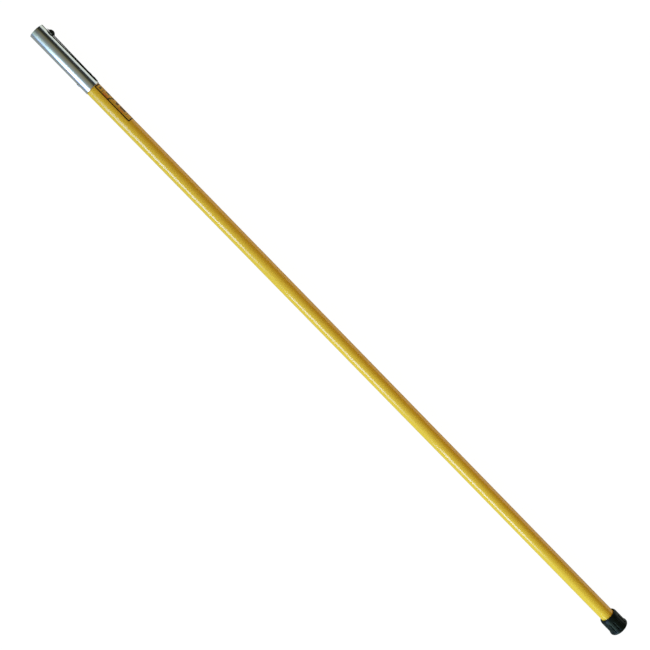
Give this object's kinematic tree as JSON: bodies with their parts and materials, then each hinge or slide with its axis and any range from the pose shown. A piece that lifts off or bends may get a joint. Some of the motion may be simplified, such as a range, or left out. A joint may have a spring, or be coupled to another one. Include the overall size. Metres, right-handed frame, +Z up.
{
  "type": "roller extension pole",
  "caption": "Straight fibreglass pole with a ribbed rubber foot and a metal socket whose sprung side latch locks a painting tool's shank.",
  "frame": {"origin": "centre of the rubber foot's flat end face, on the pole's axis", "axes": "+X along the pole from the foot to the socket's mouth, -Y towards the latch, +Z up with the pole lying down"},
  "size_m": [1.777, 0.0472, 0.0456],
  "materials": {
    "yellow_fibreglass": "pultruded glass fibre in yellow resin, satin gloss with fine lengthwise streaks",
    "bright_steel": "bright drawn steel with faint lengthwise draw lines",
    "black_nylon": "moulded, matt",
    "black_spring_steel": "black oxide, satin, rubbed bright at the lower end",
    "black_button": "black oxide, satin gloss",
    "plain_steel": "turned, bright",
    "rivet_aluminium": "satin",
    "label_film": "printed film with a dark border and plain bars in place of print",
    "black_rubber": "moulded rubber, satin"
  },
  "bodies": {
    "pole": {"pole_tube": "yellow_fibreglass", "ferrule_sleeve": "bright_steel", "tube_plug": "black_nylon", "latch_spring": "black_spring_steel", "strip_rivet_upper": "black_spring_steel", "strip_rivet_lower": "black_spring_steel", "sleeve_rivet": "rivet_aluminium", "strip_rivet_upper_mandrel": "plain_steel", "strip_rivet_lower_mandrel": "plain_steel", "sleeve_rivet_mandrel": "plain_steel", "label": "label_film", "rubber_tip": "black_rubber", "tip_washer": "plain_steel"},
    "latch": {"latch_button": "black_button", "latch_pin": "plain_steel"}
  },
  "joints": [
    {"name": "latch_lift", "type": "hinge", "parent": "pole", "child": "latch", "pos_m": [1.659, -0.01748, 0], "axis": [0, 0, -1], "range_deg": [0, 3.5], "stiffness_Nm_per_rad": 7.4, "springref_deg": -1.72, "deforming": ["latch_spring"]}
  ]
}
